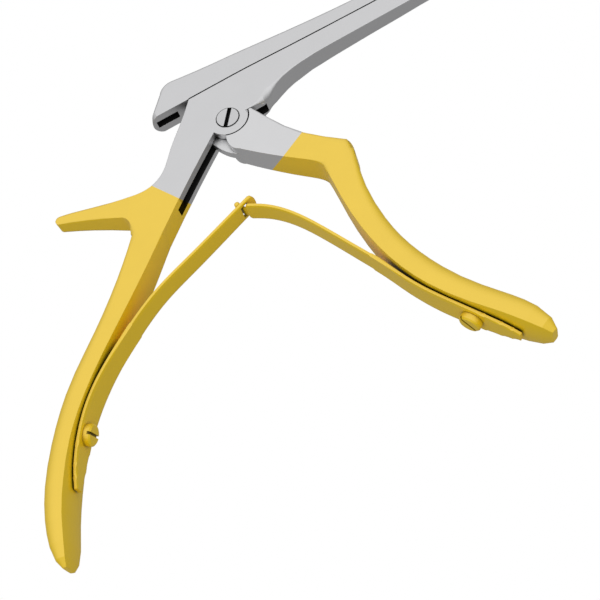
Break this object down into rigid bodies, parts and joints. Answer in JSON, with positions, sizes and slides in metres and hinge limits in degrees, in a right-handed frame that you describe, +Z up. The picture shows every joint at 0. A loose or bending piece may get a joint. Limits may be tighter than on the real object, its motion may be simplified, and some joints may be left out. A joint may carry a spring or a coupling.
{
  "type": "bone rongeur",
  "caption": "Bone rongeur of the sliding punch kind: a long fixed shaft with a footplate, a slider on top, a trigger grip with two leaf springs and a thumb horn.",
  "frame": {"origin": "on the pivot screw's axis, in the flat side of the body that faces down when the tool lies on its side", "axes": "+X along the shaft to the footplate, +Y to the slider's side, +Z up through the slotted head of the pivot screw"},
  "size_m": [0.2688, 0.1185, 0.0107],
  "materials": {
    "handle_steel": "satin steel, the grip coated gold",
    "slider_steel": "satin",
    "trigger_steel": "satin steel, the grip coated gold",
    "screw_steel": "turned",
    "spring_gold": "gold coated spring steel",
    "screw_gold": "gold coated steel"
  },
  "bodies": {
    "root": {"fixed_handle": "handle_steel", "pivot_screw": "screw_steel", "rear_spring_screw": "screw_gold"},
    "trigger": {"trigger_handle": "trigger_steel", "front_spring_screw": "screw_gold"},
    "slider": {"slider": "slider_steel"},
    "rear_leaf": {"rear_leaf_spring": "spring_gold"},
    "front_leaf": {"front_leaf_spring": "spring_gold"}
  },
  "joints": [
    {"name": "trigger_swing", "type": "hinge", "parent": "root", "child": "trigger", "pos_m": [0, 0, 0.00325], "axis": [0, 0, -1], "range_deg": [0, 36], "stiffness_Nm_per_rad": 1.2, "springref_deg": -20.05},
    {"name": "slider_travel", "type": "slide", "parent": "root", "child": "slider", "axis": [1, 0, 0], "range_m": [0, 0.00896]},
    {"name": "rear_leaf_flex", "type": "hinge", "parent": "root", "child": "rear_leaf", "pos_m": [-0.0522, -0.04735, 0.00325], "axis": [0, 0, 1], "range_deg": [0, 10.81], "deforming": ["rear_leaf_spring"]},
    {"name": "front_leaf_flex", "type": "hinge", "parent": "trigger", "child": "front_leaf", "pos_m": [0.0117, -0.0577, 0.00325], "axis": [0, 0, -1], "range_deg": [0, 15], "deforming": ["front_leaf_spring"]}
  ],
  "couplings": [
    {"joint": "slider_travel", "follows": "trigger_swing", "m_per_rad": 0.014254},
    {"joint": "rear_leaf_flex", "follows": "trigger_swing", "ratio": 0.3004},
    {"joint": "front_leaf_flex", "follows": "trigger_swing", "ratio": 0.4167}
  ]
}
